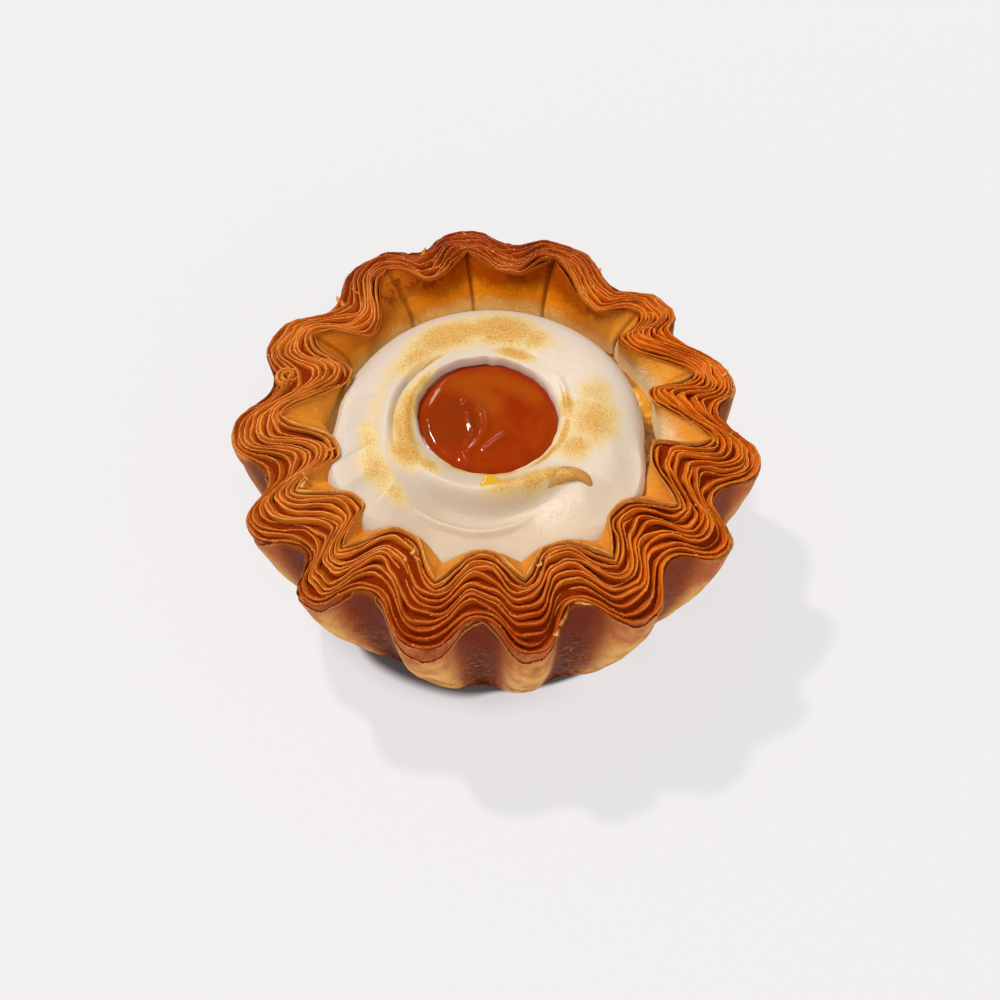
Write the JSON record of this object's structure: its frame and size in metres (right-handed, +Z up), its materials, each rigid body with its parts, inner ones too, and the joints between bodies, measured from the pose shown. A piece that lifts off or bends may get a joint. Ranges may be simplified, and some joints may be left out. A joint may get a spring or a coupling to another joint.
{
  "type": "parisian flan",
  "caption": "Individual flan in a deeply fluted, laminated pastry crust, filled with egg custard and topped by a torched meringue ring that holds soft caramel.",
  "frame": {"origin": "centre of the overall box in X and Y, at the height of the surface that the tart stands on", "axes": "+Z up out of the filling; the picture looks along +Y and down, with +X to its right"},
  "size_m": [0.1034, 0.104, 0.0464],
  "materials": {
    "baked_crust": "baked laminated pastry, egg-washed sheen on the edges",
    "egg_custard": "smooth, moist",
    "torched_meringue": "satin foam with toasted patches",
    "caramel": "wet gloss"
  },
  "bodies": {
    "root": {"crust": "baked_crust", "custard": "egg_custard", "meringue": "torched_meringue", "caramel": "caramel"}
  },
  "joints": []
}
